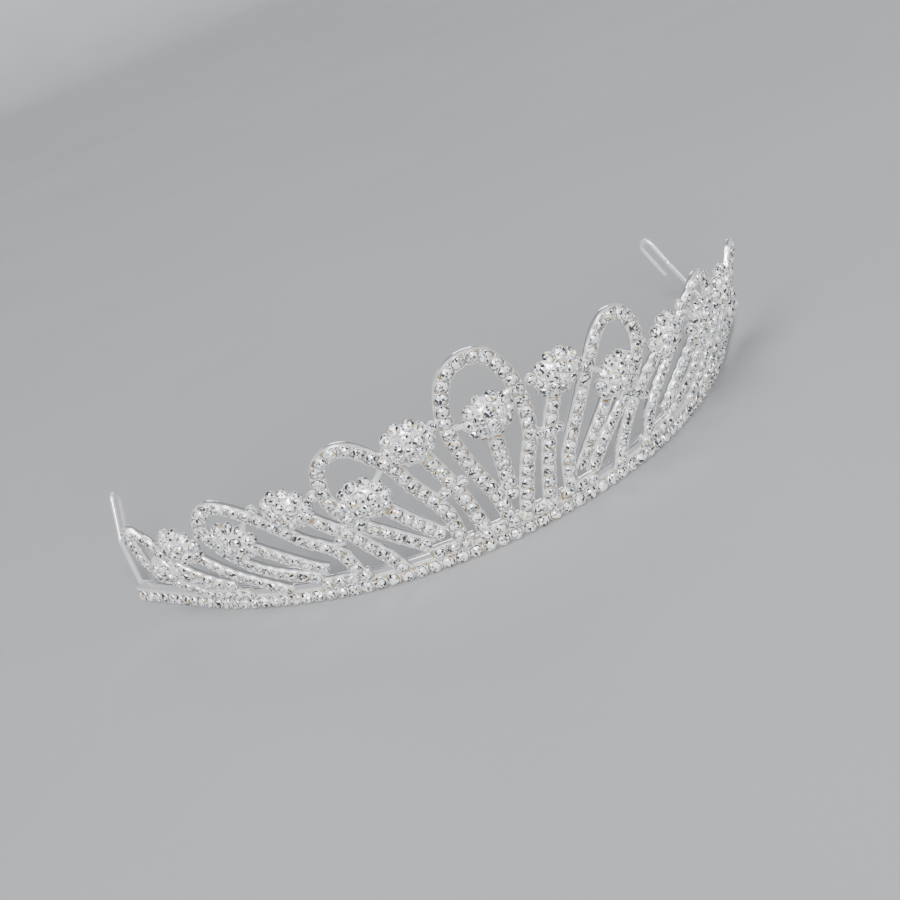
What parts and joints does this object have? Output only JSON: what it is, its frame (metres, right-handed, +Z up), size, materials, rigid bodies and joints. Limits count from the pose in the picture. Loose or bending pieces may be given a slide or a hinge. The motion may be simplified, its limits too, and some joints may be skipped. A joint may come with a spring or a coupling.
{
  "type": "bridal tiara",
  "caption": "Curved, flared tiara: a stone-set rail with looped arches and round clusters rising to the middle, an inner band, and a wire loop at each end for hairpins.",
  "frame": {"origin": "under the middle of the part's box, on the surface that the band stands on", "axes": "+X to the viewer's right along the band's width, +Y back towards the wearer's head, +Z up"},
  "size_m": [0.143, 0.1093, 0.041],
  "materials": {
    "silver_plate": "bright silver plating on cast metal",
    "polished_wire": "bright silver-plated round wire",
    "rhinestone": "clear faceted foil-backed stones"
  },
  "bodies": {
    "root": {"centre_arch": "silver_plate", "centre_arch_stones": "rhinestone", "centre_drop": "silver_plate", "centre_drop_stones": "rhinestone", "cluster_ties": "silver_plate", "end_arch_left": "silver_plate", "end_arch_left_stones": "rhinestone", "end_arch_right": "silver_plate", "end_arch_right_stones": "rhinestone", "end_drop_left": "silver_plate", "end_drop_left_stones": "rhinestone", "end_drop_right": "silver_plate", "end_drop_right_stones": "rhinestone", "fan_feet": "silver_plate", "fan_feet_stones": "rhinestone", "first_spray_left": "silver_plate", "first_spray_left_stones": "rhinestone", "first_spray_right": "silver_plate", "first_spray_right_stones": "rhinestone", "front_rail": "silver_plate", "inner_arch_left": "silver_plate", "inner_arch_left_stones": "rhinestone", "inner_arch_right": "silver_plate", "inner_arch_right_stones": "rhinestone", "inner_band": "silver_plate", "inner_drop_left": "silver_plate", "inner_drop_left_stones": "rhinestone", "inner_drop_right": "silver_plate", "inner_drop_right_stones": "rhinestone", "outer_arch_left": "silver_plate", "outer_arch_left_stones": "rhinestone", "outer_arch_right": "silver_plate", "outer_arch_right_stones": "rhinestone", "outer_drop_left": "silver_plate", "outer_drop_left_stones": "rhinestone", "outer_drop_right": "silver_plate", "outer_drop_right_stones": "rhinestone", "rail_stones": "rhinestone", "second_spray_left": "silver_plate", "second_spray_left_stones": "rhinestone", "second_spray_right": "silver_plate", "second_spray_right_stones": "rhinestone", "third_spray_left": "silver_plate", "third_spray_left_stones": "rhinestone", "third_spray_right": "silver_plate", "third_spray_right_stones": "rhinestone", "tie_studs_left": "silver_plate", "tie_studs_left_stones": "rhinestone", "tie_studs_right": "silver_plate", "tie_studs_right_stones": "rhinestone", "wire_loop_left": "polished_wire", "wire_loop_right": "polished_wire"}
  },
  "joints": []
}
